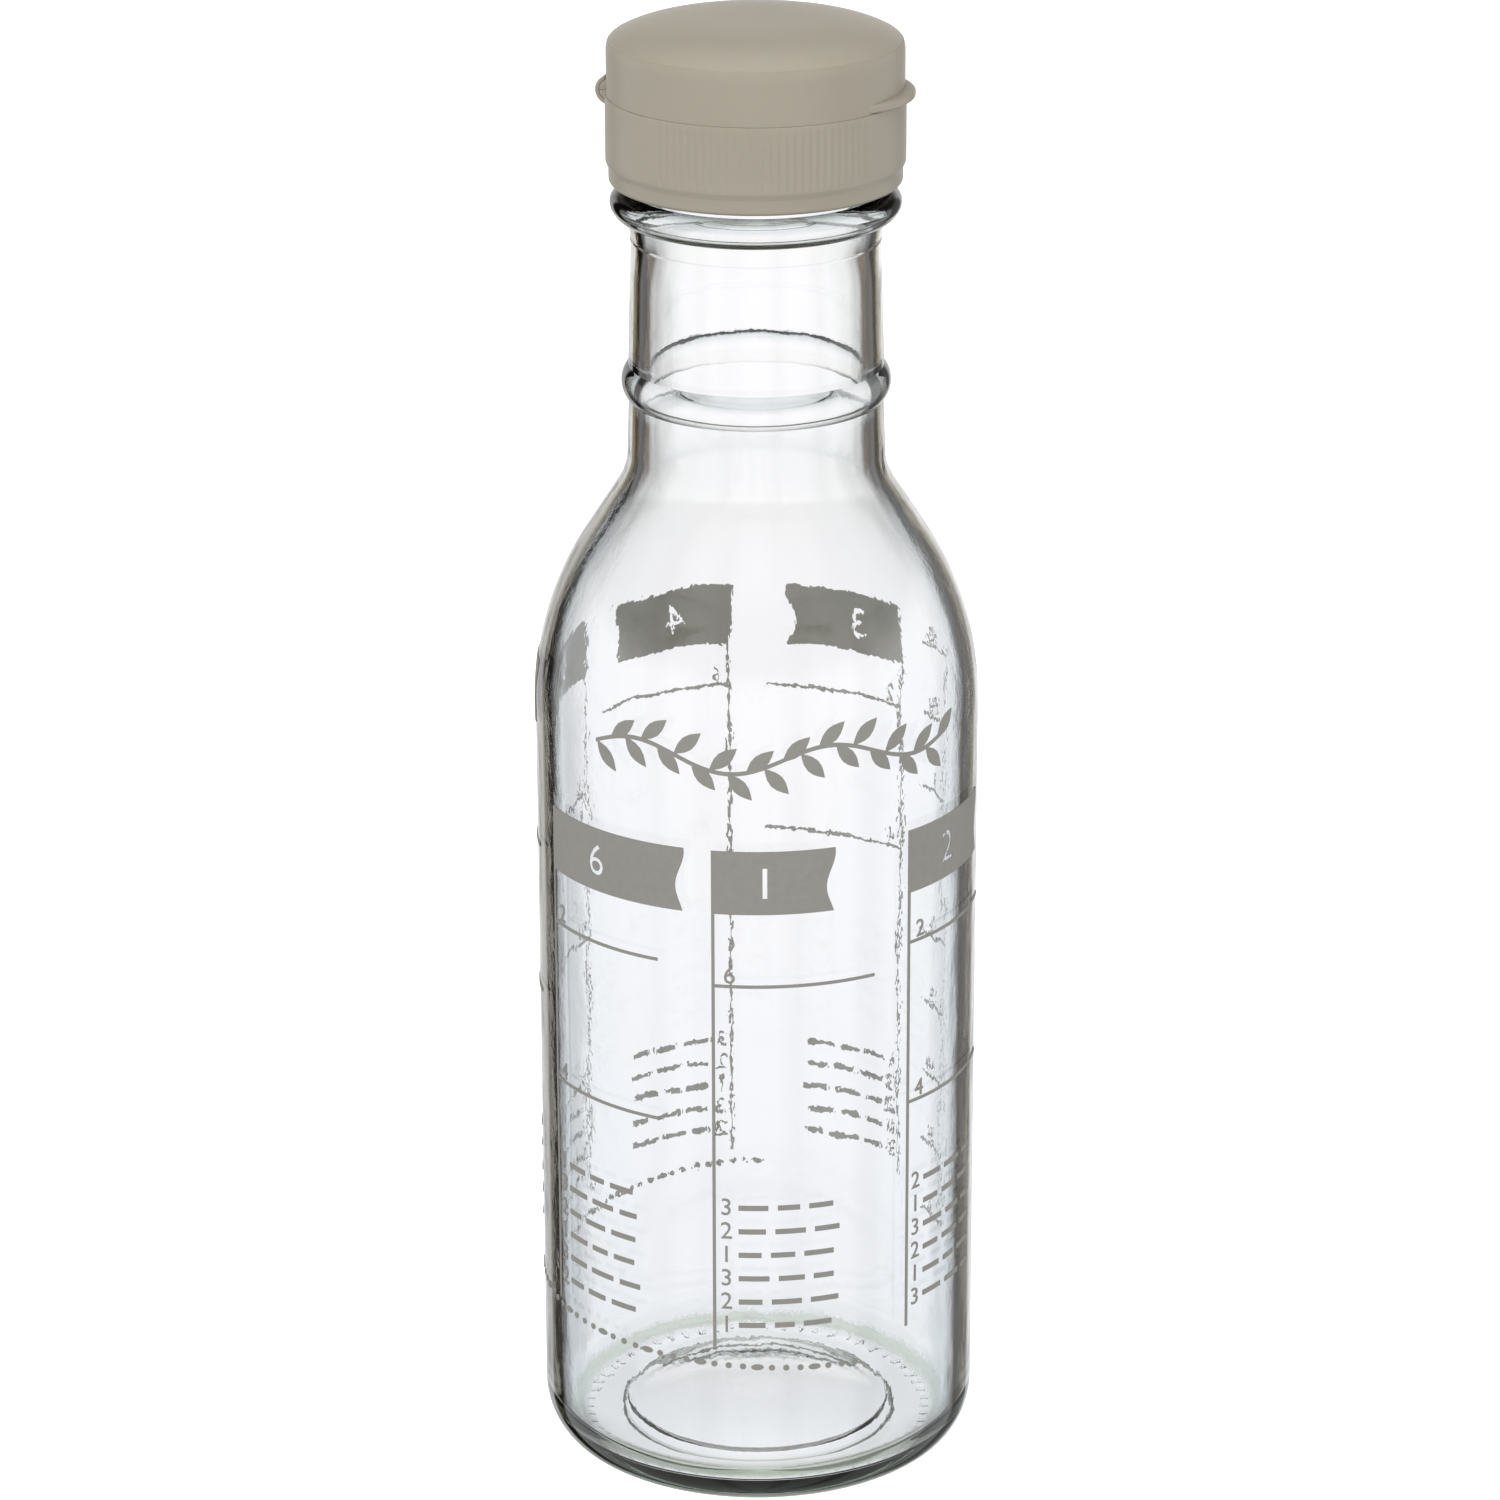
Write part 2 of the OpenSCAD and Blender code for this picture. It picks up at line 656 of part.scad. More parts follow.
// A ring of dots near the foot that drops a little as it goes round
module print_foot_ring() {
    dots = 56;
    from = 106;
    sweep = 206;
    high = rear_foot - line_w * 4.2;
    low = column_foot - line_w * 7;
    color(enamel_colour) intersection() {
        enamel_skin();
        union() for (i = [0 : dots - 1]) {
            f = i / (dots - 1);
            wide = i % 4 == 0 ? 2 : 1;
            wrapped(from + sweep * f, high + (low - high) * f) scale([wide, 1]) circle(r = line_w, $fn = 16);
        }
    }
}

glass_bottle();
seal_washer();
cap_base();
hinge_strap();
flip_lid();
print_column_1();
print_column_2();
print_scale();
print_column_3();
print_column_4();
print_column_5();
print_column_6();
print_garland();
print_foot_ring();
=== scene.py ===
import math

import bmesh
import bpy
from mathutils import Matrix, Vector


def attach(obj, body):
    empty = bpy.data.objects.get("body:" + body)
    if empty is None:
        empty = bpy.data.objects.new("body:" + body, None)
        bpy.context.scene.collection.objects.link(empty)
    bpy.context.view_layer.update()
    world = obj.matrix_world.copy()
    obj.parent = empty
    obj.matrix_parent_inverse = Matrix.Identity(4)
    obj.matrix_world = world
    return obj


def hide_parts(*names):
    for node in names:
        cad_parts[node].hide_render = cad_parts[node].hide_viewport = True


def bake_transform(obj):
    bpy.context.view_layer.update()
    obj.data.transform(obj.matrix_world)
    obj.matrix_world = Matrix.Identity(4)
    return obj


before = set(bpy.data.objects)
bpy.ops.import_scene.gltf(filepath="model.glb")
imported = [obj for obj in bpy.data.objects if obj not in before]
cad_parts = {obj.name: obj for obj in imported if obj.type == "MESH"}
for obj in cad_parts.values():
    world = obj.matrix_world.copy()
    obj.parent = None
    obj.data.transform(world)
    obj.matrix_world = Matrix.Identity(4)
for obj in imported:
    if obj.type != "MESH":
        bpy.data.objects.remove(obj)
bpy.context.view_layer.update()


# Studio: the camera stands at the photograph's angle over a plain white table. A softbox in
# front, a weaker one on the right and a pale room light the bottle.

camera_at = (0.20598, -0.71835, 0.3792)
camera_tilt, camera_side, camera_roll = 69.779, 16, -0.12
camera_lens, camera_shift = 135.93, -0.00467
bpy.ops.object.select_all(action="DESELECT")
bpy.ops.object.camera_add(location=camera_at,
                          rotation=(math.radians(camera_tilt), 0, math.radians(camera_side)))
camera = bpy.context.object
camera.rotation_euler.rotate_axis("Z", math.radians(camera_roll))
camera.data.lens = camera_lens
camera.data.sensor_width = 36
camera.data.shift_x = camera_shift
camera.data.clip_start = 0.01
bpy.context.scene.camera = camera
bpy.context.scene.view_settings.view_transform = "Standard"


def linear(code):
    """The linear colour of an sRGB hex value."""
    parts = [int(code[i:i + 2], 16) / 255 for i in (1, 3, 5)]
    return [c / 12.92 if c <= 0.04045 else ((c + 0.055) / 1.055) ** 2.4 for c in parts] + [1]


def add(tree, kind, inputs=None, **settings):
    """Adds a shader node with its settings. Its inputs are values, or outputs to link."""
    node = tree.nodes.new("ShaderNode" + kind)
    for key, value in settings.items():
        setattr(node, key, value)
    for key, value in (inputs or {}).items():
        if isinstance(value, bpy.types.NodeSocket):
            tree.links.new(value, node.inputs[key])
        else:
            node.inputs[key].default_value = value
    return node


def fill(ramp, stops):
    """Gives a colour ramp its soft stops: pairs of a place from 0 to 1 and a grey or a hex colour."""
    colours = [linear(value) if isinstance(value, str) else (value, value, value, 1)
               for _, value in stops]
    ramp.interpolation = "EASE"
    ramp.elements[0].position, ramp.elements[0].color = stops[0][0], colours[0]
    ramp.elements[1].position, ramp.elements[1].color = stops[-1][0], colours[-1]
    for (position, _), colour in zip(stops[1:-1], colours[1:-1]):
        ramp.elements.new(position).color = colour


# The room: what the glass shows. It is pale all round, with a grey belt at half height and a
# greyer ground.
room = bpy.data.worlds.new("studio_room")
room.use_nodes = True
tree = room.node_tree
tree.nodes.clear()
around = add(tree, "TexCoord")
way = add(tree, "SeparateXYZ", {0: around.outputs["Generated"]})
compass = add(tree, "Math", {0: way.outputs["Y"], 1: way.outputs["X"]}, operation="ARCTAN2")
bearing = add(tree, "MapRange", {0: compass.outputs[0], 1: -math.pi, 2: math.pi})
# Dark flags stand round the bottle, each between two bearings in degrees and of its own depth.
# They draw the dark lines along its edges.
flags = add(tree, "ValToRGB", {0: bearing.outputs[0]})
flag_fade = 3
flag_stops = [(0, 0)]
for first, last, depth in ((-108, -95, 0.3), (-62, -50, 0.3), (-19, -5, 0.5),
                           (57, 81, 0.75), (116, 132, 0.22), (138, 155, 1)):
    flag_stops += [((degrees + 180) / 360, value)
                   for degrees, value in ((first - flag_fade, 0), (first + flag_fade, depth),
                                          (last - flag_fade, depth), (last + flag_fade, 0))]
fill(flags.color_ramp, flag_stops + [(1, 0)])
climb = add(tree, "Math", {0: way.outputs["Z"]}, operation="ARCSINE")
belt = add(tree, "MapRange", {0: climb.outputs[0], 1: -math.pi / 2, 2: math.pi / 2})
shell = add(tree, "ValToRGB", {0: belt.outputs[0]})
fill(shell.color_ramp, [
    (0.0, "#D5DCD2"), (0.16, "#C3C9C0"), (0.27, "#DDE0E2"), (0.33, "#EDEFF3"), (0.42, "#FBFAFC"),
    (0.54, "#FDFCFC"), (0.60, "#6E6F68"), (0.69, "#6E6F68"), (0.82, "#FFFFFF"), (1.0, "#FFFFFF")])
dark = add(tree, "MixRGB", {"Fac": flags.outputs[0], "Color1": shell.outputs[0],
                            "Color2": linear("#2E2B27")})
seen = add(tree, "LightPath")
shown = add(tree, "Background", {"Color": dark.outputs[0], "Strength": 1.12})
white = add(tree, "Background", {"Color": (1, 1, 1, 1), "Strength": 1.05})
# Matt surfaces are lit from above and all round, and hardly from below
sky = add(tree, "MapRange", {0: way.outputs["Z"], 1: -0.8, 2: 0.8, 3: 0.55, 4: 0.72})
soft = add(tree, "Background", {"Color": linear("#FFFDFA"), "Strength": sky.outputs[0]})
matt = add(tree, "MixShader", {0: seen.outputs["Is Diffuse Ray"], 1: shown.outputs[0], 2: soft.outputs[0]})
both = add(tree, "MixShader", {0: seen.outputs["Is Camera Ray"], 1: matt.outputs[0], 2: white.outputs[0]})
add(tree, "OutputWorld", {"Surface": both.outputs[0]})
bpy.context.scene.world = room

# The table: a large white sheet. Only the eye sees it, so that it doesn't hide the room from
# rays that go through the glass.
bpy.ops.mesh.primitive_plane_add(size=6)
table = bpy.context.object
table.name = "white_table"
sheet = bpy.data.materials.new("white_paper")
sheet.use_nodes = True
tree = sheet.node_tree
tree.nodes.clear()
paper = add(tree, "BsdfDiffuse", {"Color": linear("#F6F6F6")})
light = add(tree, "Emission", {"Color": (1, 1, 1, 1), "Strength": 0.75})
bright_paper = add(tree, "AddShader", {0: paper.outputs[0], 1: light.outputs[0]})
add(tree, "OutputMaterial", {"Surface": bright_paper.outputs[0]})
table.data.materials.append(sheet)
table.visible_transmission = False
table.visible_glossy = False
table.visible_diffuse = False

# A softbox in front, high on the left, and a weaker one on the right. They light closure and
# print, and the glass doesn't show them.
for lamp_name, lamp_at, wide, tall, watts in (("softbox", (-0.24, -0.86, 0.90), 0.8, 0.6, 6.0),
                                              ("fill_light", (0.85, -0.55, 0.45), 0.6, 0.6, 2.4)):
    bpy.ops.object.light_add(type="AREA", location=lamp_at)
    lamp = bpy.context.object
    lamp.name = lamp_name
    lamp.data.shape = "RECTANGLE"
    lamp.data.size, lamp.data.size_y = wide, tall
    lamp.data.energy = watts
    lamp.rotation_euler = (Vector((0, 0, 0.15)) - lamp.location).to_track_quat("-Z", "Y").to_euler()
    lamp.visible_glossy = False
    lamp.visible_transmission = False


# Glass bottle: blown soda-lime glass, with a ring on the neck, a bead under the closure and a
# threaded finish. Its outline is turned round the axis, then the standing ring gets its bars
# and the finish its thread.

MM = 0.001
body_r, body_h, wall_t = 31.0, 112.3, 2.5
heel_w, heel_h, base_z = 5.0, 7.2, 0.3
foot_r = body_r - heel_w
inner_r, inner_heel_r, floor_t, floor_step = body_r - wall_t, 4, 3.8, 0.6
punt_r, punt_step, punt_h = 19.7, 1.3, 3.4
shoulder_r, throat_r, lean = 44, 8.9, 32.6
neck_r, neck_top_r = 17.8, 17.05
slope = math.radians(lean)
slope_l = (body_r - neck_r - (shoulder_r + throat_r) * (1 - math.cos(slope))) / math.sin(slope)
neck_z = body_h + (shoulder_r + throat_r) * math.sin(slope) + slope_l * math.cos(slope)
ring_z, ring_r, ring_half_h = neck_z + 10, 18.55, 2.4
bead_z, bead_r, bead_up, bead_down = neck_z + 35.2, 19.9, 1.9, 2.4
bead_top = bead_z + bead_up
root_r, mouth_r, lip_r, mouth_l = 17.55, 14.6, 0.9, 14
lip_z = bead_top + 10.6
thread_t, thread_w, pitch, thread_turns = 1.15, 2.1, 4.233, 1.25
thread_start = lip_z - 2.1 - pitch * thread_turns


def arc(x, z, rx, rz, start, end, steps):
    """Points on an ellipse's arc, as radius and height in millimetres."""
    turns = [math.radians(start + (end - start) * i / steps) for i in range(steps + 1)]
    return [(x + rx * math.cos(t), z + rz * math.sin(t)) for t in turns]


def line(start, end, steps):
    """Points from one point of an outline to another, without the first."""
    return [(start[0] + (end[0] - start[0]) * i / steps, start[1] + (end[1] - start[1]) * i / steps)
            for i in range(1, steps + 1)]


def turned(name, outline, segments):
    """A piece turned on a lathe: its outline is drawn from point to point and spun round."""
    bpy.ops.object.select_all(action="DESELECT")
    bpy.ops.mesh.primitive_plane_add(size=MM)
    piece = bpy.context.object
    piece.name = piece.data.name = name
    bpy.ops.object.mode_set(mode="EDIT")
    bpy.ops.mesh.select_mode(type="VERT")
    bpy.ops.mesh.merge(type="CENTER")
    x, z = outline[0]
    bpy.ops.transform.translate(value=(x * MM, 0, z * MM))
    for next_x, next_z in outline[1:]:
        bpy.ops.mesh.extrude_region_move(
            TRANSFORM_OT_translate={"value": ((next_x - x) * MM, 0, (next_z - z) * MM)})
        x, z = next_x, next_z
    bpy.ops.mesh.select_all(action="SELECT")
    bpy.ops.mesh.spin(steps=segments, angle=math.tau, center=(0, 0, 0), axis=(0, 0, 1), use_auto_merge=True)
    bpy.ops.mesh.select_all(action="SELECT")
    bpy.ops.mesh.remove_doubles(threshold=0.002 * MM)
    bpy.ops.mesh.normals_make_consistent(inside=False)
    bpy.ops.object.mode_set(mode="OBJECT")
    return piece


def shoulder(inset, steps):
    """The shoulder's curve from the body up to the neck, moved inwards by inset."""
    round_r, hollow_r = shoulder_r - inset, throat_r + inset
    lower = arc(body_r - shoulder_r, body_h, round_r, round_r, 0, lean, steps)
    upper = arc(neck_r + throat_r, neck_z, hollow_r, hollow_r, 180 + lean, 180, steps // 2)
    return lower + line(lower[-1], upper[0], 5)[:-1] + upper


# The push-up is a dome in the base, the ring on the neck a flat arc
dome_r = ((punt_r - punt_step) ** 2 + (punt_h - punt_step) ** 2) / (2 * (punt_h - punt_step))
dome_end = 90 - math.degrees(math.asin((punt_r - punt_step) / dome_r))
neck_foot_to_bead = bead_z - bead_down - neck_z
ring_out = ring_r - (neck_r + (neck_top_r - neck_r) * (ring_z - neck_z) / neck_foot_to_bead)
ring_arc_r = (ring_half_h ** 2 + ring_out ** 2) / (2 * ring_out)
ring_arc = math.degrees(math.asin(ring_half_h / ring_arc_r))
seam_z, seam_r = bead_z - 5.2, 17.12
outside = (
    arc(0, punt_h - dome_r, dome_r, dome_r, 90, dome_end, 10)
    + arc(punt_r - punt_step, base_z, punt_step, punt_step - base_z, 75, 0, 6)
    + [(foot_r - 2.0, base_z), (foot_r - 0.4, base_z)]
    + arc(foot_r, base_z + heel_h, heel_w, heel_h, -90, 0, 20)
    + line((body_r, base_z + heel_h), (body_r, body_h), 14)[:-1]
    + shoulder(0, 18)
    + arc(ring_r - ring_arc_r, ring_z, ring_arc_r, ring_arc_r, -ring_arc, ring_arc, 14)
    + line((ring_r - ring_out, ring_z + ring_half_h), (seam_r, seam_z - 0.3), 4)
    # The faint step where the neck mould meets the body mould
    + [(seam_r + 0.06, seam_z - 0.1), (seam_r + 0.06, seam_z + 0.1), (seam_r - 0.02, seam_z + 0.3)]
    + arc(neck_top_r, bead_z, bead_r - neck_top_r, bead_down, -80, 0, 14)
    + arc(neck_top_r, bead_z, bead_r - neck_top_r, bead_up, 10, 80, 9)
    + [(root_r, bead_top)]
    + line((root_r, bead_top), (root_r, lip_z - lip_r), 36)
    + arc(root_r - lip_r, lip_z - lip_r, lip_r, lip_r, 0, 90, 8)[1:])
inside = (
    arc(mouth_r + lip_r, lip_z - lip_r, lip_r, lip_r, 90, 180, 8)
    + line((mouth_r, lip_z - lip_r), (mouth_r, lip_z - mouth_l), 4)
    + line((mouth_r, lip_z - mouth_l), (neck_r - wall_t, neck_z), 8)[:-1]
    + shoulder(wall_t, 18)[::-1]
    + line((inner_r, body_h), (inner_r, floor_t + inner_heel_r), 14)[:-1]
    + arc(inner_r - inner_heel_r, floor_t + inner_heel_r, inner_heel_r, inner_heel_r, 0, -90, 14)
    + [(punt_r - floor_step, floor_t), (punt_r - floor_step * 1.3, floor_t + 0.08)]
    + [(punt_r - floor_step * 1.8, floor_t + floor_step * 0.85)]
    + [((punt_r - 2 * floor_step) * (1 - i / 8),
        floor_t + floor_step + (punt_h - punt_step - floor_step) * (1 - (1 - i / 8) ** 2))
       for i in range(9)])
glass_faces, foot_bars = 240, 60
bottle = turned("blown_bottle", outside + inside, glass_faces)

# Sixty small bars on the standing ring: every fourth face of the ring is drawn down to the table
bpy.ops.object.mode_set(mode="EDIT")
bpy.ops.mesh.select_all(action="DESELECT")
bpy.ops.mesh.select_mode(type="FACE")
shape = bmesh.from_edit_mesh(bottle.data)
for face in shape.faces:
    middle = face.calc_center_median() / MM
    bar_turn = math.degrees(math.atan2(middle.y, middle.x)) % (360 / foot_bars)
    on_ring = abs(middle.z - base_z) < 0.01 and foot_r - 1.9 < middle.xy.length < foot_r - 0.5
    face.select_set(on_ring and bar_turn < 360 / glass_faces)
bmesh.update_edit_mesh(bottle.data)
bpy.ops.mesh.extrude_region_move(TRANSFORM_OT_translate={"value": (0, 0, -base_z * MM)})
bpy.ops.object.mode_set(mode="OBJECT")


def thread_rise(angle, z, start_z, half_w, crest_half_w, fade=40):
    """How far a thread that starts at angle 0 stands up at a place, as a share of its full height."""
    best = 0
    for turn_no in range(2):
        along = turn_no * 360 + angle
        if along <= thread_turns * 360:
            away = abs(z - (start_z + pitch * along / 360))
            rise = min(1, max(0, (half_w - away) / (half_w - crest_half_w)))
            best = max(best, rise * min(1, (along + 3) / fade, (thread_turns * 360 - along + 3) / fade))
    return best


for v in bottle.data.vertices:
    p = v.co / MM
    if bead_top + 0.1 < p.z < lip_z - lip_r - 0.1 and abs(p.xy.length - root_r) < 0.01:
        angle = math.degrees(math.atan2(p.y, p.x)) % 360
        rise = thread_rise(angle, p.z, thread_start, thread_w / 2, thread_w * 0.22)
        v.co.xy *= (root_r + thread_t * rise) / root_r

bpy.ops.object.shade_smooth_by_angle(angle=math.radians(28))

# Soda-lime glass, fire-polished outside: clear and mirror smooth. Its little iron tints long
# ways through it green. Where the eye glances off the wall its colour is darkened by painted
# shade, most at the neck, standing in for the dark room seen along the edges.
# Inside, where it was blown, it is softly rippled: long waves 5 mm apart and a finer shiver of
# 0.7 mm, which break up the print that is seen through the far wall.
glass = bpy.data.materials.new("soda_lime_glass_blown")
glass.use_nodes = True
tree = glass.node_tree
skin = tree.nodes["Principled BSDF"]
skin.inputs["Roughness"].default_value = 0.0
skin.inputs["IOR"].default_value = 1.52
skin.inputs["Transmission Weight"].default_value = 1.0
glass_spot = add(tree, "TexCoord")
inner = add(tree, "Attribute", attribute_name="inside")
slant = add(tree, "LayerWeight", {"Blend": 0.5})
# Painted shade along the edges, over the glancing angle: narrow on the body, broad on the neck
narrow = add(tree, "ValToRGB", {0: slant.outputs["Facing"]})
fill(narrow.color_ramp, [
    (0.0, "#FEFCFD"), (0.42, "#F2F4F6"), (0.55, "#CAD2D6"), (0.60, "#A0A5A8"), (0.66, "#6C675C"),
    (0.79, "#5E5644"), (0.85, "#8E8672"), (0.92, "#E8E3D4"), (1.0, "#F4F1E6")])
broad = add(tree, "ValToRGB", {0: slant.outputs["Facing"]})
fill(broad.color_ramp, [
    (0.0, "#FEFCFD"), (0.20, "#F8F8F8"), (0.33, "#E0E1DE"), (0.42, "#A8A8A4"), (0.48, "#2E2416"),
    (0.66, "#22180C"), (0.72, "#746A52"), (0.78, "#D8D0BC"), (0.90, "#F6F1E4"), (1.0, "#F8F4EA")])
# Heights in units of 200 mm: broad painted shade at the heel, on the neck, and less on its ring and bead
place = add(tree, "SeparateXYZ", {0: glass_spot.outputs["Object"]})
stature = add(tree, "Math", {0: place.outputs["Z"], 1: 5.0}, operation="MULTIPLY")
where = add(tree, "ValToRGB", {0: stature.outputs[0]})
fill(where.color_ramp, [
    (0.0, 0), (0.012, 0), (0.018, 0.9), (0.034, 0.9), (0.060, 0), (0.66, 0), (0.75, 1), (0.772, 1),
    (0.782, 0.45), (0.802, 0.45), (0.812, 1), (0.893, 1), (0.908, 0.5), (1.0, 0.5)])
painted_edge_shade = add(tree, "MixRGB", {"Fac": where.outputs[0], "Color1": narrow.outputs[0],
                                 "Color2": broad.outputs[0]})
# The foot of the heel, where the wall is thick, gets a painted band of light: pale green, and frosted a
# little so that the room lights it
flat_place = add(tree, "VectorMath", {0: glass_spot.outputs["Object"], 1: (1, 1, 0)},
                 operation="MULTIPLY")
off_axis = add(tree, "VectorMath", {0: flat_place.outputs[0]}, operation="LENGTH")
outer = add(tree, "MapRange", {0: off_axis.outputs["Value"], 1: 0.0255, 2: 0.0268})
lowest = add(tree, "MapRange", {0: place.outputs["Z"], 1: 0.0030, 2: 0.0014},
             interpolation_type="SMOOTHSTEP")
foot = add(tree, "Math", {0: outer.outputs[0], 1: lowest.outputs[0]}, operation="MULTIPLY")
painted_edge_and_band = add(tree, "MixRGB", {"Fac": foot.outputs[0], "Color1": painted_edge_shade.outputs[0],
                                  "Color2": linear("#E1E9DD")})
# The frosting lets the room light the painted pale band
band_frosting = add(tree, "MapRange", {0: foot.outputs[0], 1: 0.0, 2: 1.0, 3: 1.0, 4: 0.6})
tree.links.new(band_frosting.outputs[0], skin.inputs["Transmission Weight"])
# The inside faces stay near white; the outside carries the painted edge shade
tint_and_painted_shade = add(tree, "MixRGB", {"Fac": inner.outputs["Fac"], "Color1": painted_edge_and_band.outputs[0],
                                  "Color2": linear("#FDFDFD")})
tree.links.new(tint_and_painted_shade.outputs[0], skin.inputs["Base Color"])
# The ripples are drawn out upwards, and fade at the floor of the bottle
stretch = add(tree, "Mapping", {"Vector": glass_spot.outputs["Object"], "Scale": (1, 1, 0.6)})
waves = add(tree, "TexNoise", {"Vector": stretch.outputs[0], "Scale": 200, "Detail": 1.0})
shiver = add(tree, "TexNoise", {"Vector": stretch.outputs[0], "Scale": 1400, "Detail": 1.0})
calm = add(tree, "MapRange", {0: place.outputs["Z"], 1: 0.005, 2: 0.014, 3: 0.15, 4: 1.0})
strength = add(tree, "Math", {0: inner.outputs["Fac"], 1: calm.outputs[0]}, operation="MULTIPLY")
rolled = add(tree, "Bump", {"Height": waves.outputs[0], "Distance": 0.00008,
                            "Strength": strength.outputs[0]})
rippled = add(tree, "Bump", {"Height": shiver.outputs[0], "Distance": 0.00001,
                             "Strength": strength.outputs[0], "Normal": rolled.outputs[0]})
tree.links.new(rippled.outputs[0], skin.inputs["Normal"])
iron = add(tree, "VolumeAbsorption", {"Color": (0.2, 0.5, 0.35, 1), "Density": 10.0})
tree.links.new(iron.outputs[0], tree.nodes["Material Output"].inputs["Volume"])
bottle.data.materials.append(glass)
# The inside is marked on the mesh: faces that look at the axis, and the floor
inside_faces = bottle.data.attributes.new("inside", "FLOAT", "FACE")
for face in bottle.data.polygons:
    centre = face.center / MM
    facing = face.normal.xy.dot(face.center.xy.normalized()) if face.center.xy.length > 0 else 0
    on_floor = centre.xy.length < inner_r - 0.01 and centre.z < floor_t + 6
    if floor_t - 0.5 < centre.z < lip_z - 2 and (facing < -0.2 or on_floor):
        inside_faces.data[face.index].value = 1.0
# Clear glass lets the light through to what is behind it
bottle.visible_shadow = False
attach(bottle, "bottle")
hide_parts("glass_bottle")


# Enamel print: a warm grey ceramic ink, screened on the outside of the glass and fired. Each
# piece is laid out flat on a sheet in millimetres, x along the glass and z up, cut into strips
# and wrapped round the bottle.

ink_t, ink_gap, line_w = 0.12, 0.015, 0.45
numeral_h, flag_h, row_step = 2.5, 9.2, 3.6
front_foot, rear_foot = 25.5, 29.5
front_top, rear_top = body_h - 11.7, body_h + 6.5

# Fired enamel: powdered glass and pigment, matt to satin, a little uneven where the screen
# laid it thinner, in clouds about 1 mm across.
enamel = bpy.data.materials.new("fired_glass_enamel")
enamel.use_nodes = True
tree = enamel.node_tree
ink = tree.nodes["Principled BSDF"]
ink.inputs["Roughness"].default_value = 0.48
ink.inputs["IOR"].default_value = 1.5
ink_spot = add(tree, "TexCoord")
cloud = add(tree, "TexNoise", {"Vector": ink_spot.outputs["Object"], "Scale": 900, "Detail": 3.0})
uneven = add(tree, "MixRGB", {"Fac": cloud.outputs[0], "Color1": linear("#969590"),
                              "Color2": linear("#8B8A84")})
# The side that lies on the glass is painted paler: painted light for the print seen through the far wall
outward = add(tree, "VectorMath", {0: ink_spot.outputs["Object"], 1: ink_spot.outputs["Normal"]},
              operation="DOT_PRODUCT")
painted_light_side = add(tree, "Math", {0: outward.outputs["Value"], 1: -0.01}, operation="LESS_THAN")
shade = add(tree, "MixRGB", {"Fac": painted_light_side.outputs[0], "Color1": uneven.outputs[0],
                             "Color2": linear("#AAA79C")})
tree.links.new(shade.outputs[0], ink.inputs["Base Color"])
grain = add(tree, "Bump", {"Height": cloud.outputs[0], "Distance": 0.00002, "Strength": 0.6})
tree.links.new(grain.outputs[0], ink.inputs["Normal"])


def wall_radius(z):
    """Radius of the glass at a height, on the body and the start of the shoulder."""
    if z <= body_h:
        return body_r
    return body_r - shoulder_r + math.sqrt(shoulder_r ** 2 - (z - body_h) ** 2)


def new_sheet(name):
    """Starts an empty sheet and stays in its edit mode."""
    bpy.ops.object.select_all(action="DESELECT")
    bpy.ops.mesh.primitive_plane_add()
    bpy.context.object.name = bpy.context.object.data.name = name
    bpy.ops.object.mode_set(mode="EDIT")
    bpy.ops.mesh.delete(type="VERT")
    return bpy.context.object


def bar(x0, x1, z0, z1):
    """Prints a bar on the sheet."""
    bpy.ops.mesh.primitive_cube_add(size=1, location=((x0 + x1) / 2, -ink_t / 2, (z0 + z1) / 2),
                                    scale=(x1 - x0, ink_t, z1 - z0))


def numeral(text, x, z, height, depth=ink_t):
    """A plain numeral standing on the sheet, centred on x, as a solid of its own."""
    bpy.ops.object.select_all(action="DESELECT")
    bpy.ops.object.text_add(location=(x, -ink_t / 2, z), rotation=(math.pi / 2, 0, 0))
    sign = bpy.context.object
    sign.data.body = text
    sign.data.align_x = "CENTER"
    sign.data.size = height / 0.69
    sign.data.extrude = depth / 2
    sign.data.resolution_u = 3
    bpy.ops.object.convert(target="MESH")
    bpy.ops.object.transform_apply(location=True, rotation=True, scale=True)
    sign = bpy.context.object
    bpy.ops.object.mode_set(mode="EDIT")
    bpy.ops.mesh.select_all(action="SELECT")
    bpy.ops.mesh.remove_doubles(threshold=0.001)
    bpy.ops.mesh.normals_make_consistent(inside=False)
    bpy.ops.object.mode_set(mode="OBJECT")
    return sign


def cut(axis, start, end, step):
    """Cuts the whole sheet across at even steps, so that it can bend."""
    normal = (1, 0, 0) if axis == 0 else (0, 0, 1)
    place = start + step
    while place < end:
        bpy.ops.mesh.select_all(action="SELECT")
        bpy.ops.mesh.bisect(plane_co=tuple(n * place for n in normal), plane_no=normal)
        place += step


def wrap(sheet, turn):
    """Wraps a finished sheet round the glass, with x = 0 at an angle about the axis."""
    xs = [v.co.x for v in sheet.data.vertices]
    zs = [v.co.z for v in sheet.data.vertices]
    bpy.context.view_layer.objects.active = sheet
    bpy.ops.object.mode_set(mode="EDIT")
    cut(0, min(xs), max(xs), 1.0)
    if max(zs) > body_h:
        cut(2, body_h - 1.5, max(zs), 1.5)
    bpy.ops.mesh.select_all(action="SELECT")
    bpy.ops.mesh.remove_doubles(threshold=0.0005)
    bpy.ops.object.mode_set(mode="OBJECT")
    for v in sheet.data.vertices:
        angle = math.radians(turn) + v.co.x / body_r
        radius = (wall_radius(v.co.z) + ink_gap - v.co.y) * MM
        v.co = (radius * math.cos(angle), radius * math.sin(angle), v.co.z * MM)
    sheet.data.materials.clear()
    sheet.data.materials.append(enamel)
    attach(sheet, "bottle")


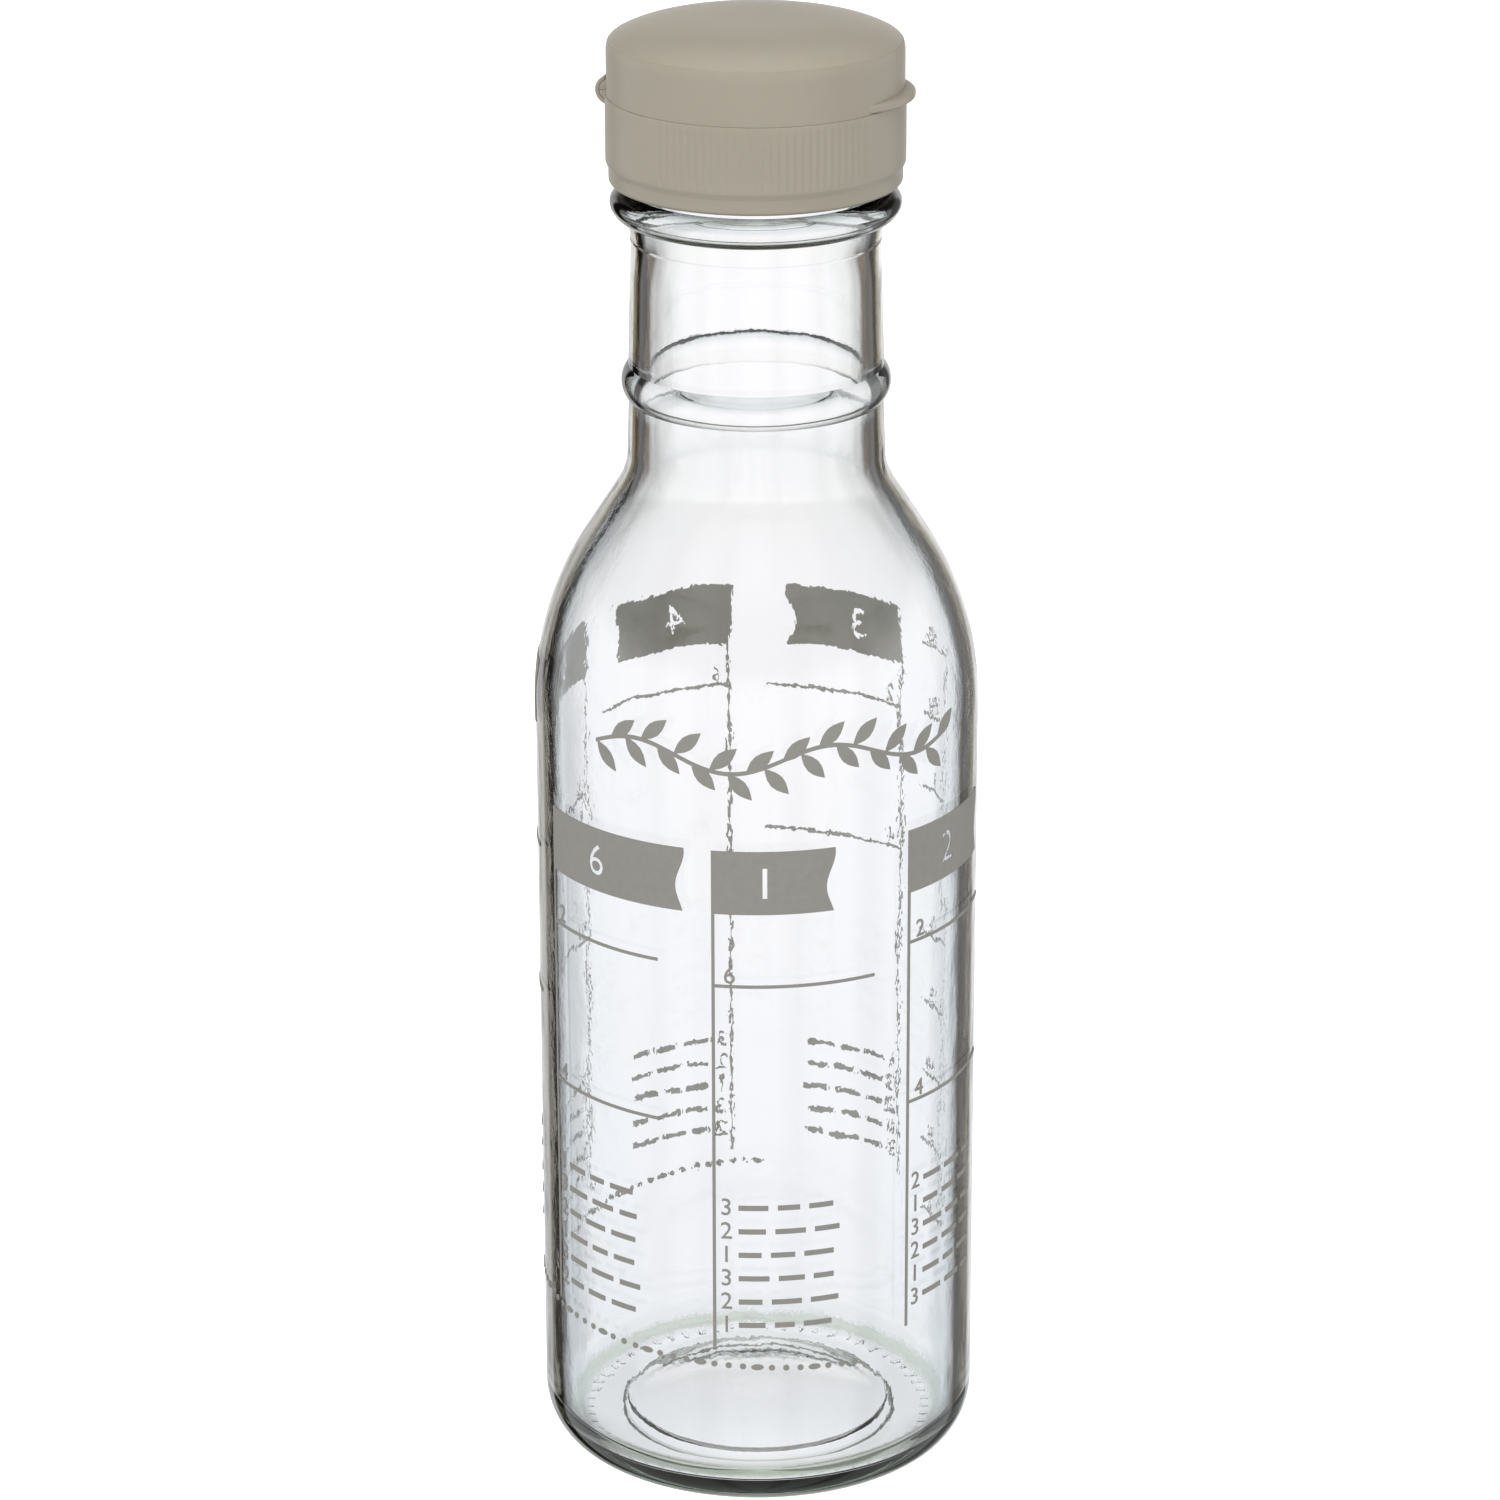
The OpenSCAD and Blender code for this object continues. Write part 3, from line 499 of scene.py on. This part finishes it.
def join(sheet, pieces):
    """Joins pieces to a sheet."""
    bpy.ops.object.select_all(action="DESELECT")
    for piece in pieces:
        piece.select_set(True)
    sheet.select_set(True)
    bpy.context.view_layer.objects.active = sheet
    bpy.ops.object.join()


def flag(width, top, number):
    """A header flag with a waving end, hanging from top. Its number is bare glass."""
    sheet = new_sheet("flag")
    bar(line_w / 2 + 0.01, width, top - flag_h, top)
    cut(2, top - flag_h, top - 0.1, flag_h / 12)
    bpy.ops.object.mode_set(mode="OBJECT")
    for v in sheet.data.vertices:
        if v.co.x > width - 0.01:
            share = (v.co.z - top + flag_h) / flag_h
            v.co.x -= flag_h * 0.14 * (1 + math.sin(math.radians(share * 330 - 40))) / 2
    punch = numeral(str(number), width * 0.42, top - flag_h / 2 - numeral_h * 0.9, numeral_h * 1.8, depth=1)
    bite = sheet.modifiers.new("number", "BOOLEAN")
    bite.object = punch
    bite.solver = "EXACT"
    bpy.ops.object.select_all(action="DESELECT")
    sheet.select_set(True)
    bpy.context.view_layer.objects.active = sheet
    bpy.ops.object.modifier_apply(modifier=bite.name)
    bpy.data.objects.remove(punch)
    return sheet


def column(name, number, turn, foot, top, flag_w, level_l, levels, rows):
    """One column of the chart: upright line, flag, level lines with numerals, rows of dashes."""
    sheet = new_sheet(name)
    bar(-line_w / 2, line_w / 2, foot, top)
    signs = []
    for share, level_no in levels:
        z = front_foot + (top - front_foot) * share
        bar(line_w / 2 + 0.01, level_l, z - line_w / 2, z + line_w / 2)
        signs.append((str(level_no), numeral_h * 0.9, z + line_w, numeral_h))
    for row in range(rows):
        z = front_foot + row_step * (5.8 - row)
        lengths = [numeral_h * (1.04 + 0.68 * abs(math.sin(math.radians((row + number) * 67 + k * 131))))
                   for k in range(3)]
        x = numeral_h * 1.36
        signs.append((str(1 + (row + number) * 2 % 3), x / 2, z, numeral_h))
        for length in lengths:
            bar(x, x + length, z + numeral_h * 0.3, z + numeral_h * 0.6)
            x += length + numeral_h * 0.52
    bpy.ops.object.mode_set(mode="OBJECT")
    join(sheet, [flag(flag_w, top, number)] + [numeral(*sign) for sign in signs])
    wrap(sheet, turn)
    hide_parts(name.replace("enamel", "print"))


column("enamel_column_1", 1, -85.3, front_foot, front_top, 17.0, 23.0, [(0.736, 6)], 6)
column("enamel_column_2", 2, -31.7, front_foot, front_top, 20.0, 22.0, [(0.779, 2), (0.459, 4)], 6)
column("enamel_column_3", 3, 59.5, rear_foot, rear_top, 20.5, 24.0, [(0.831, 2), (0.597, 4)], 5)
column("enamel_column_4", 4, 114, rear_foot, rear_top, 20.5, 24.0, [(0.831, 6)], 5)
column("enamel_column_5", 5, 166.5, rear_foot, rear_top, 20.0, 22.0, [(0.713, 3), (0.477, 3)], 5)
column("enamel_column_6", 6, 221, front_foot, front_top, 25.0, 21.0, [(0.774, 2), (0.457, 4)], 6)

# The measuring scale: an upright line with nine even marks, numbered 2 to 10
scale_first, scale_top, scale_mark_l = front_foot + line_w * 2.4, rear_top - line_w * 4, 8.5
scale_marks = 9
scale_step = (scale_top - line_w * 4.4 - scale_first) / (scale_marks - 1)
sheet = new_sheet("enamel_scale")
bar(-line_w / 2, line_w / 2, front_foot, scale_top)
for i in range(scale_marks):
    z = scale_first + i * scale_step
    bar(line_w / 2 + 0.01, scale_mark_l, z - line_w / 2, z + line_w / 2)
bpy.ops.object.mode_set(mode="OBJECT")
join(sheet, [numeral(str(i + 2), scale_mark_l * 0.6, scale_first + i * scale_step + line_w, numeral_h)
             for i in range(scale_marks)])
wrap(sheet, 33)
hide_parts("print_scale")

# A garland stands over the front columns: a waving stem with pointed leaves on both sides
garland_l, garland_z, leaf_l, leaf_w = 55, body_h + 1.3, 5, 2
sheet = new_sheet("enamel_garland")
bar(0, garland_l, -line_w * 0.65, line_w * 0.65)
cut(0, 0, garland_l, 1.0)
bpy.ops.object.mode_set(mode="OBJECT")


def stem_height(x):
    """Height of the waving stem at a place along it: two waves over its length."""
    return garland_z + 1.8 * math.sin(math.radians(x * 720 / garland_l))


for v in sheet.data.vertices:
    v.co.z += stem_height(v.co.x)
leaf_count = 22
leaves = []
for i in range(leaf_count):
    bpy.ops.object.select_all(action="DESELECT")
    bpy.ops.mesh.primitive_cylinder_add(vertices=16, radius=0.5, depth=ink_t * 0.9,
                                        location=(0, -ink_t / 2, 0), rotation=(math.pi / 2, 0, 0))
    bpy.ops.object.transform_apply(location=True, rotation=True, scale=True)
    leaf = bpy.context.object
    for v in leaf.data.vertices:
        share = v.co.x + 0.5
        side = 1 if v.co.z > 0 else -1
        v.co.z = 0 if share in (0, 1) else side * leaf_w / 2 * math.sin(math.pi * share)
        v.co.x = share * leaf_l
    x = garland_l * i / leaf_count
    bpy.ops.transform.rotate(value=math.radians(-48 if i % 2 == 0 else 40), orient_axis="Y",
                             center_override=(0, 0, 0))
    bpy.ops.transform.translate(value=(x + 0.3, 0, stem_height(x)))
    bpy.ops.object.transform_apply(location=True, rotation=True, scale=True)
    leaves.append(leaf)
join(sheet, leaves)
wrap(sheet, -119)
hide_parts("print_garland")

# A row of dots runs round the foot and drops a little on its way. Every fourth is drawn out.
dot_count, dot_turn, dot_sweep = 56, 106, 206
dot_high, dot_low = rear_foot - line_w * 4.2, front_foot - line_w * 7
sheet = new_sheet("enamel_foot_ring")
for i in range(dot_count):
    share = i / (dot_count - 1)
    bpy.ops.mesh.primitive_cylinder_add(
        vertices=12, radius=line_w, depth=ink_t, rotation=(math.pi / 2, 0, 0),
        scale=(2 if i % 4 == 0 else 1, 1, 1),
        location=(math.radians(dot_sweep * share) * body_r, -ink_t / 2,
                  dot_high + (dot_low - dot_high) * share))
bpy.ops.object.mode_set(mode="OBJECT")
wrap(sheet, dot_turn)
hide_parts("print_foot_ring")


# Sealing washer: a flat ring of foamed polyethylene, pressed into the top of the closure. It
# lies on the lip of the bottle.

washer_t, washer_out_r, washer_in_r = 0.8, 18.75, 14.2
washer = turned("sealing_washer", [
    (washer_in_r, lip_z + 0.1), (washer_in_r, lip_z + washer_t - 0.1),
    (washer_in_r + 0.1, lip_z + washer_t), (washer_out_r - 0.1, lip_z + washer_t),
    (washer_out_r, lip_z + washer_t - 0.1), (washer_out_r, lip_z + 0.1),
    (washer_out_r - 0.1, lip_z), (washer_in_r + 0.1, lip_z), (washer_in_r, lip_z + 0.1)], 96)
bpy.ops.object.shade_smooth_by_angle(angle=math.radians(30))

# Foamed polyethylene: milky white and soft, with closed cells about 0.3 mm across
foam = bpy.data.materials.new("foamed_polyethylene")
foam.use_nodes = True
tree = foam.node_tree
foam_skin = tree.nodes["Principled BSDF"]
foam_skin.inputs["Base Color"].default_value = linear("#ECEAE2")
foam_skin.inputs["Roughness"].default_value = 0.7
foam_skin.inputs["Subsurface Weight"].default_value = 0.25
foam_skin.inputs["Subsurface Scale"].default_value = 0.001
foam_spot = add(tree, "TexCoord")
cells = add(tree, "TexVoronoi", {"Vector": foam_spot.outputs["Object"], "Scale": 3300})
dimples = add(tree, "Bump", {"Height": cells.outputs["Distance"], "Distance": 0.00005, "Strength": 0.5})
tree.links.new(dimples.outputs[0], foam_skin.inputs["Normal"])
washer.data.materials.append(foam)
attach(washer, "washer")
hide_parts("seal_washer")


# Closure base: a screw skirt of moulded polypropylene with fine gripping ribs, a deck with an
# outer rim for the lid and a smaller rim round the pouring hole, and the lower half of the
# hinge lobe.

cap_r, band_r, band_h = 20.4, 20.0, 2.9
skirt_in_r, skirt_z = 18.85, bead_top + 0.9
band_top = skirt_z + band_h
deck_z = lip_z + washer_t
deck_top = deck_z + 1.6
lid_r, lid_t, lid_gap = 20.2, 1.3, 0.12
lid_z = deck_top + lid_gap
lid_in_r = lid_r - lid_t
rim_out_r, rim_h, rim_t, spout_r = lid_in_r - 0.2, 1.3, 1.2, 4.8
rib_count, rib_t = 120, 0.17
cap = turned("screw_cap", (
    [(skirt_in_r, deck_z)] + line((skirt_in_r, deck_z), (skirt_in_r, skirt_z + 0.3), 32)
    + [(skirt_in_r + 0.3, skirt_z)]
    + arc(band_r - 0.6, skirt_z + 0.6, 0.6, 0.6, -90, 0, 5)
    + [(band_r, band_top - 0.85), (band_r + 0.05, band_top - 0.65),
       (cap_r - 0.05, band_top), (cap_r, band_top + 0.15)]
    + line((cap_r, band_top + 0.15), (cap_r, deck_top - 0.04), 10)
    + arc(cap_r - 0.04, deck_top - 0.04, 0.04, 0.04, 30, 90, 2)
    + [(rim_out_r + 0.1, deck_top), (rim_out_r, deck_top + 0.1)]
    + arc(rim_out_r - 0.25, deck_top + rim_h - 0.25, 0.25, 0.25, 0, 90, 3)
    + arc(rim_out_r - rim_t + 0.25, deck_top + rim_h - 0.25, 0.25, 0.25, 90, 180, 3)
    + [(rim_out_r - rim_t, deck_top + 0.1), (rim_out_r - rim_t - 0.1, deck_top)]
    + [(spout_r + rim_t + 0.1, deck_top), (spout_r + rim_t, deck_top + 0.1)]
    + arc(spout_r + rim_t - 0.25, deck_top + rim_h - 0.25, 0.25, 0.25, 0, 90, 3)
    + arc(spout_r + 0.25, deck_top + rim_h - 0.25, 0.25, 0.25, 90, 180, 3)
    + [(spout_r, deck_z + 0.1), (spout_r + 0.1, deck_z), (skirt_in_r, deck_z)]), 480)
# The ribs leave the front at the tab and the back at the hinge bare. The thread inside starts a
# part of a turn further on than that of the glass, half a pitch under it.
further = 0.32
for v in cap.data.vertices:
    p = v.co / MM
    angle = math.degrees(math.atan2(p.y, p.x)) % 360
    if band_top + 0.1 < p.z < deck_top - 0.1 and p.xy.length > cap_r - 0.1:
        at_tab, at_hinge = min(angle, 360 - angle), abs(angle - 180)
        if at_tab > 27 and at_hinge > 66:
            ends = min(1, (p.z - band_top) / 0.7, (deck_top - p.z) / 0.7)
            v.co.xy *= 1 - rib_t * ends * (0.5 - 0.5 * math.cos(math.radians(angle) * rib_count)) / cap_r
    if skirt_z + 0.3 < p.z < deck_z - 0.1 and abs(p.xy.length - skirt_in_r) < 0.01:
        rise = thread_rise((angle - 360 * further) % 360, p.z,
                           thread_start - pitch / 2 + pitch * further, 0.7, 0.35)
        v.co.xy *= 1 - rise * 0.95 / skirt_in_r


def half_lobe(name, z0, z1):
    """Half of the round bar at the hinge, between two heights, with its end edges broken."""
    bpy.ops.object.select_all(action="DESELECT")
    bpy.ops.mesh.primitive_cylinder_add(vertices=48, radius=lobe_r * MM, depth=strap_w * MM,
                                        location=(-lobe_x * MM, 0, lobe_z * MM),
                                        rotation=(math.pi / 2, 0, 0))
    bpy.ops.object.transform_apply(location=True, rotation=True, scale=True)
    lobe = bpy.context.object
    lobe.name = name
    bpy.ops.object.mode_set(mode="EDIT")
    for z, side in ((z0, 1), (z1, -1)):
        bpy.ops.mesh.select_all(action="SELECT")
        bpy.ops.mesh.bisect(plane_co=(0, 0, z * MM), plane_no=(0, 0, side),
                            use_fill=True, clear_inner=True)
    bpy.ops.mesh.select_all(action="SELECT")
    bpy.ops.mesh.bisect(plane_co=((-lid_r + 0.6) * MM, 0, 0), plane_no=(1, 0, 0),
                        use_fill=True, clear_outer=True)
    bpy.ops.object.mode_set(mode="OBJECT")
    edge = lobe.modifiers.new("edge", "BEVEL")
    edge.width = 0.12 * MM
    edge.segments = 2
    edge.angle_limit = math.radians(50)
    bpy.ops.object.modifier_apply(modifier=edge.name)
    return lobe


strap_w, strap_t, strap_r, strap_reach = 9, 0.5, 2.05, 1.1
lobe_r, lobe_x, lobe_z = strap_r - strap_t - 0.04, lid_r + strap_reach - strap_r, deck_top + lid_gap / 2
join(cap, [half_lobe("lower_lobe", lobe_z - strap_r, deck_top)])
bpy.ops.object.shade_smooth_by_angle(angle=math.radians(35))

# Polypropylene, injection moulded, in warm taupe: satin, slightly milky in thin places, with a
# spark-eroded mould texture of about 0.2 mm and faint flow marks about 14 mm long.
plastic = bpy.data.materials.new("moulded_polypropylene")
plastic.use_nodes = True
tree = plastic.node_tree
plastic_skin = tree.nodes["Principled BSDF"]
plastic_skin.inputs["Roughness"].default_value = 0.38
plastic_skin.inputs["IOR"].default_value = 1.49
plastic_skin.inputs["Subsurface Weight"].default_value = 0.12
plastic_skin.inputs["Subsurface Scale"].default_value = 0.0015
plastic_spot = add(tree, "TexCoord")
flow = add(tree, "TexNoise", {"Vector": plastic_spot.outputs["Object"], "Scale": 70, "Detail": 2.0})
plastic_tint = add(tree, "MixRGB", {"Fac": flow.outputs[0], "Color1": linear("#A19B8D"),
                                    "Color2": linear("#A9A294")})
tree.links.new(plastic_tint.outputs[0], plastic_skin.inputs["Base Color"])
spark = add(tree, "TexNoise", {"Vector": plastic_spot.outputs["Object"], "Scale": 5000, "Detail": 1.0})
satin = add(tree, "Bump", {"Height": spark.outputs[0], "Distance": 0.000006, "Strength": 0.6})
tree.links.new(satin.outputs[0], plastic_skin.inputs["Normal"])
cap.data.materials.clear()
cap.data.materials.append(plastic)
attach(cap, "closure")
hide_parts("cap_base")


# Hinge strap: a thin strap moulded with base and lid, folded round the lobes. It is swept
# round the hinge and thickened.

bpy.ops.object.select_all(action="DESELECT")
bpy.ops.mesh.primitive_plane_add(size=MM)
strap = bpy.context.object
strap.name = strap.data.name = "hinge_film"
bpy.ops.object.mode_set(mode="EDIT")
bpy.ops.mesh.select_mode(type="VERT")
bpy.ops.mesh.merge(type="CENTER")
strap_start = math.radians(15)
bpy.ops.transform.translate(value=((-lobe_x - strap_r * math.sin(strap_start)) * MM, -strap_w / 2 * MM,
                                   (lobe_z - strap_r * math.cos(strap_start)) * MM))
bpy.ops.mesh.extrude_region_move(TRANSFORM_OT_translate={"value": (0, strap_w * MM, 0)})
bpy.ops.mesh.select_all(action="SELECT")
bpy.ops.mesh.subdivide(number_cuts=7)
bpy.ops.mesh.select_all(action="SELECT")
lobe_axis = (-lobe_x * MM, 0, lobe_z * MM)
bpy.ops.mesh.spin(steps=30, angle=math.pi - 2 * strap_start, center=lobe_axis, axis=(0, -1, 0))
bpy.ops.object.mode_set(mode="OBJECT")
# Its faces point away from the hinge before it gets its thickness
if sum((f.center - Vector(lobe_axis)).dot(f.normal) for f in strap.data.polygons) < 0:
    strap.data.flip_normals()
thick = strap.modifiers.new("thickness", "SOLIDIFY")
thick.thickness = strap_t * MM
thick.offset = -1
bpy.ops.object.modifier_apply(modifier=thick.name)
# Its ends meet the round wall of the closure
bpy.ops.mesh.primitive_cylinder_add(vertices=480, radius=(cap_r + 0.02) * MM, depth=20 * MM,
                                    location=(0, 0, lobe_z * MM))
wall = bpy.context.object
bpy.ops.object.select_all(action="DESELECT")
strap.select_set(True)
bpy.context.view_layer.objects.active = strap
meet = strap.modifiers.new("meet", "BOOLEAN")
meet.object = wall
meet.solver = "EXACT"
bpy.ops.object.modifier_apply(modifier=meet.name)
bpy.data.objects.remove(wall)
edge = strap.modifiers.new("edge", "BEVEL")
edge.width = 0.1 * MM
edge.segments = 2
edge.angle_limit = math.radians(50)
bpy.ops.object.modifier_apply(modifier=edge.name)
bpy.ops.object.shade_smooth_by_angle(angle=math.radians(35))
strap.data.materials.append(plastic)
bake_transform(strap)
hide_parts("hinge_strap")


# Flip lid: a crowned polypropylene cap with a plug that closes the pouring hole, a thumb tab in
# front and the upper half of the hinge lobe behind.

edge_in, edge_h, side_h, crown_h = 0.35, 1.5, 7.4, 2.4
edge_r, edge_z = lid_r - edge_in, lid_z + side_h
lid_top = edge_z + crown_h
plug_r, plug_t, plug_z = spout_r - 0.2, 1.1, deck_z + 0.3
tab_half_w, tab_out, tab_z, tab_h = 8.9, lid_r + 1.7, lid_z, 1.1
tab_x = math.sqrt(lid_r ** 2 - tab_half_w ** 2)
tab_c = (tab_out ** 2 - lid_r ** 2) / (2 * (tab_out - tab_x))
lid_foot = lid_z - 0.105


def crown(r, drop=0):
    """A point of the crowned top: level in the middle and steep near its edge."""
    return (r, lid_top - crown_h * (r / edge_r) ** 4.8 - drop)


lid = turned("flip_top_lid", (
    [(0, lid_top - lid_t), (plug_r - plug_t, lid_top - lid_t), (plug_r - plug_t, plug_z + 0.1)]
    + [(plug_r - plug_t + 0.1, plug_z), (plug_r - 0.3, plug_z), (plug_r, plug_z + 0.5)]
    + [(plug_r, lid_top - lid_t)]
    + [crown(lid_in_r * i / 20, lid_t) for i in range(6, 19)]
    + [(lid_in_r, edge_z - lid_t)]
    + line((lid_in_r, edge_z - lid_t), (lid_in_r, lid_foot + 0.1), 4)
    + [(lid_in_r + 0.1, lid_foot), (lid_r - 0.03, lid_foot), (lid_r, lid_foot + 0.03), (lid_r, tab_z)]
    + line((lid_r, tab_z), (lid_r, tab_z + tab_h), 12)
    + [(lid_r, tab_z + tab_h + 0.05)]
    + line((lid_r, tab_z + tab_h + 0.05), (lid_r, edge_z - edge_h), 4)
    + [(lid_r - edge_in * (i / 5) ** 2, edge_z - edge_h * (1 - i / 5)) for i in range(1, 5)]
    + [(edge_r, edge_z - 0.28), (edge_r - 0.08, edge_z - 0.05), (edge_r - 0.28, edge_z + 0.06)]
    + [crown(edge_r * (1 - i / 40)) for i in range(1, 40)] + [(0, lid_top)]), 480)
# The tab grows out of the lid's wall in front, as an arc of a smaller circle
for v in lid.data.vertices:
    p = v.co / MM
    if tab_z - 0.001 < p.z < tab_z + tab_h + 0.001 and abs(p.xy.length - lid_r) < 0.01 and p.x > 0:
        turn = math.atan2(p.y, p.x)
        inside_root = (tab_out - tab_c) ** 2 - (tab_c * math.sin(turn)) ** 2
        if inside_root > 0:
            reach = tab_c * math.cos(turn) + math.sqrt(inside_root)
            if reach > lid_r:
                # The tab's upper and lower edges are broken
                ends = min((p.z - tab_z), (tab_z + tab_h - p.z))
                reach -= min(reach - lid_r, max(0, 0.3 - ends) ** 2 / 0.3)
                v.co.xy *= reach / lid_r
join(lid, [half_lobe("upper_lobe", lid_z, lobe_z + strap_r)])
bpy.ops.object.shade_smooth_by_angle(angle=math.radians(35))
lid.data.materials.clear()
lid.data.materials.append(plastic)
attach(lid, "lid")
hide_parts("flip_lid")
